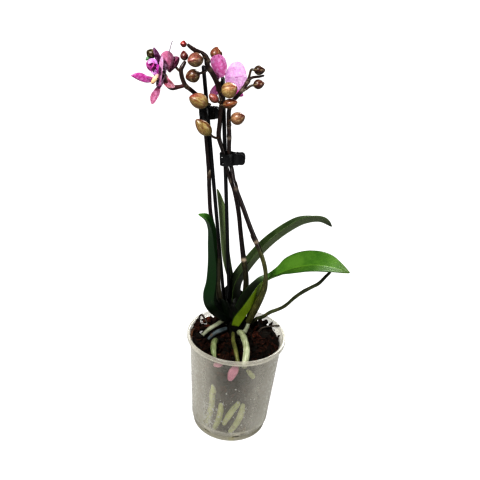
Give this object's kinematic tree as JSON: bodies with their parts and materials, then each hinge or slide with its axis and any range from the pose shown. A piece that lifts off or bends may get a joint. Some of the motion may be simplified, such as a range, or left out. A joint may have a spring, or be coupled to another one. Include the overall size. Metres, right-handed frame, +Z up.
{
  "type": "potted orchid",
  "caption": "Small orchid in a translucent plastic nursery pot, with tied flower spikes, buds, opening flowers, arching leaves, aerial roots and sprung claw clips on support rods.",
  "frame": {"origin": "centre of the pot's base, on the surface it stands on", "axes": "+Z up along the pot's axis, -Y towards the front, +X to the right where the two arching leaves and the aerial root reach out"},
  "size_m": [0.1857, 0.0981, 0.3443],
  "materials": {
    "clear_plastic": "gloss",
    "bark": "matte",
    "crown": "satin",
    "leaf_bright": "satin",
    "leaf_grey_green": "satin",
    "leaf_dark": "satin",
    "leaf_pale": "satin",
    "root_olive": "matte",
    "root_pale": "matte",
    "dead_root": "matte",
    "stake_plastic": "satin",
    "clip_plastic": "gloss",
    "spike": "satin",
    "fallen_petal": "matte",
    "bud_cream": "satin",
    "bud_red": "satin",
    "bud_olive": "satin",
    "bud_brown": "satin",
    "petal_magenta": "satin",
    "petal_pale": "satin",
    "petal_pink": "satin",
    "pin_steel": "satin",
    "spring_steel": "satin"
  },
  "bodies": {
    "plant_in_pot": {"bark_medium": "bark", "bud_centre": "bud_brown", "bud_cream_left": "bud_cream", "bud_cream_right": "bud_cream", "bud_far_left": "bud_olive", "bud_fork_lower": "bud_brown", "bud_fork_upper": "bud_brown", "bud_hanging": "bud_cream", "bud_low_left": "bud_brown", "bud_low_right": "bud_brown", "bud_round_right": "bud_cream", "bud_terminal_red": "bud_red", "bud_top_centre": "bud_brown", "bud_top_left": "bud_brown", "bud_top_right": "bud_brown", "clip_left_jaw_front": "clip_plastic", "clip_left_pin": "pin_steel", "clip_left_spring": "spring_steel", "clip_right_jaw_front": "clip_plastic", "clip_right_pin": "pin_steel", "clip_right_spring": "spring_steel", "crown": "crown", "fallen_petal_front": "fallen_petal", "fallen_petal_left": "fallen_petal", "flower_left_lip": "petal_magenta", "flower_left_petal_front": "petal_magenta", "flower_left_petal_rear": "petal_pink", "flower_left_petal_upper": "petal_pink", "flower_left_sepal_dorsal": "petal_magenta", "flower_left_sepal_lower": "petal_pink", "flower_right_lip": "petal_pink", "flower_right_petal_left": "petal_pink", "flower_right_petal_right": "petal_pale", "flower_right_sepal_dorsal": "petal_pink", "flower_right_sepal_lower_left": "petal_pink", "flower_right_sepal_lower_right": "petal_pink", "leaf_front_right": "leaf_bright", "leaf_left": "leaf_dark", "leaf_rear_right": "leaf_grey_green", "leaf_rear_tall": "leaf_pale", "pot": "clear_plastic", "root_aerial": "root_olive", "root_dead_arch": "dead_root", "root_front_left": "root_pale", "root_front_olive": "root_olive", "root_front_thick": "root_pale", "root_rear_left": "root_pale", "root_wall_fourth": "root_pale", "root_wall_long": "root_pale", "root_wall_second": "root_pale", "root_wall_third": "root_pale", "spike_left": "spike", "spike_right_inner": "spike", "spike_right_outer": "spike", "stake_left": "stake_plastic", "stake_right": "stake_plastic", "twig": "dead_root"},
    "clip_left_jaw": {"clip_left_jaw_rear": "clip_plastic"},
    "clip_right_jaw": {"clip_right_jaw_rear": "clip_plastic"}
  },
  "joints": [
    {"name": "clip_left_hinge", "type": "hinge", "parent": "plant_in_pot", "child": "clip_left_jaw", "pos_m": [-0.03551, 0.0251, 0.28909], "axis": [0.1443, 0, -0.9895], "range_deg": [0, 28], "stiffness_Nm_per_rad": 0.03, "springref_deg": -28.65},
    {"name": "clip_right_hinge", "type": "hinge", "parent": "plant_in_pot", "child": "clip_right_jaw", "pos_m": [-0.01338, 0.0187, 0.25411], "axis": [0.0968, 0, -0.9953], "range_deg": [0, 28], "stiffness_Nm_per_rad": 0.03, "springref_deg": -28.65}
  ]
}
